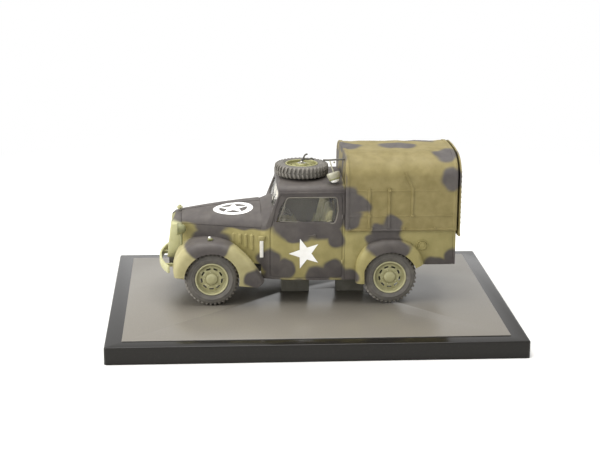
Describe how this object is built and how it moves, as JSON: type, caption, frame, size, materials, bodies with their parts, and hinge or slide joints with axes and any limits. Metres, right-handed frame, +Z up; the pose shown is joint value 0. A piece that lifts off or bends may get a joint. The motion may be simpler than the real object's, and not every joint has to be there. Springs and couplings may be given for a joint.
{
  "type": "display model of a light utility car on its plinth",
  "caption": "Small die-cast display model of a wartime light utility car with a two-seat cab, canvas tilt and roof spare wheel, fixed to a black plinth.",
  "frame": {"origin": "centre of the plinth's underside, where the model stands on a shelf", "axes": "+X toward the car's tail (the car faces -X), +Y toward the car's right side, +Z up"},
  "size_m": [0.111, 0.086, 0.0472],
  "materials": {
    "plinth_plastic": "polished moulded black",
    "steel": "plain zinc plated",
    "chassis_black": "moulded dark grey",
    "tyre_rubber": "matt rubber",
    "wheel_paint": "satin khaki green",
    "camouflage_paint": "matt khaki with dark patches",
    "grille_paint": "matt khaki",
    "interior_paint": "matt khaki green",
    "seat_leather": "khaki leathercloth",
    "black_plastic": "moulded black",
    "glazing": "clear moulded",
    "lamp_paint": "satin khaki",
    "lamp_silver": "satin silver",
    "arm_white": "satin white",
    "tilt_canvas": "matt painted canvas texture"
  },
  "bodies": {
    "body": {"axle_front": "chassis_black", "axle_rear": "chassis_black", "bonnet": "camouflage_paint", "bonnet_sides": "camouflage_paint", "bumper": "camouflage_paint", "cab_floor": "interior_paint", "cab_shell": "camouflage_paint", "chassis_frame": "chassis_black", "dashboard": "interior_paint", "door_glass_left": "glazing", "door_glass_right": "glazing", "door_handles": "camouflage_paint", "door_hinges": "camouflage_paint", "driveline": "chassis_black", "exhaust": "chassis_black", "filler_cap": "camouflage_paint", "grille_bars": "grille_paint", "grille_shell": "camouflage_paint", "headlamp_left": "lamp_paint", "headlamp_right": "lamp_paint", "leaf_springs": "chassis_black", "load_bed": "camouflage_paint", "mounting_pads": "chassis_black", "plinth": "plinth_plastic", "plinth_screws": "steel", "radiator_cap": "camouflage_paint", "rear_curtain": "tilt_canvas", "roof_lamp": "lamp_silver", "seats": "seat_leather", "side_lamps": "lamp_paint", "signal_arms": "arm_white", "spare_clamp": "steel", "spare_disc": "wheel_paint", "spare_tyre": "tyre_rubber", "steering_wheel": "black_plastic", "tailgate": "camouflage_paint", "tilt": "tilt_canvas", "windscreen": "glazing", "wing_front_left": "camouflage_paint", "wing_front_right": "camouflage_paint", "wing_rear_left": "camouflage_paint", "wing_rear_right": "camouflage_paint", "wipers": "black_plastic"},
    "wheel_front_left": {"tyre_front_left": "tyre_rubber", "wheel_disc_front_left": "wheel_paint"},
    "wheel_front_right": {"tyre_front_right": "tyre_rubber", "wheel_disc_front_right": "wheel_paint"},
    "wheel_rear_left": {"tyre_rear_left": "tyre_rubber", "wheel_disc_rear_left": "wheel_paint"},
    "wheel_rear_right": {"tyre_rear_right": "tyre_rubber", "wheel_disc_rear_right": "wheel_paint"}
  },
  "joints": [
    {"name": "front_left_wheel_spin", "type": "hinge", "parent": "body", "child": "wheel_front_left", "pos_m": [-0.0274, -0.00895, 0.0127], "axis": [0, 1, 0], "continuous": true},
    {"name": "front_right_wheel_spin", "type": "hinge", "parent": "body", "child": "wheel_front_right", "pos_m": [-0.0274, 0.01795, 0.0127], "axis": [0, 1, 0], "continuous": true},
    {"name": "rear_left_wheel_spin", "type": "hinge", "parent": "body", "child": "wheel_rear_left", "pos_m": [0.0222, -0.00895, 0.0127], "axis": [0, 1, 0], "continuous": true},
    {"name": "rear_right_wheel_spin", "type": "hinge", "parent": "body", "child": "wheel_rear_right", "pos_m": [0.0222, 0.01795, 0.0127], "axis": [0, 1, 0], "continuous": true}
  ]
}
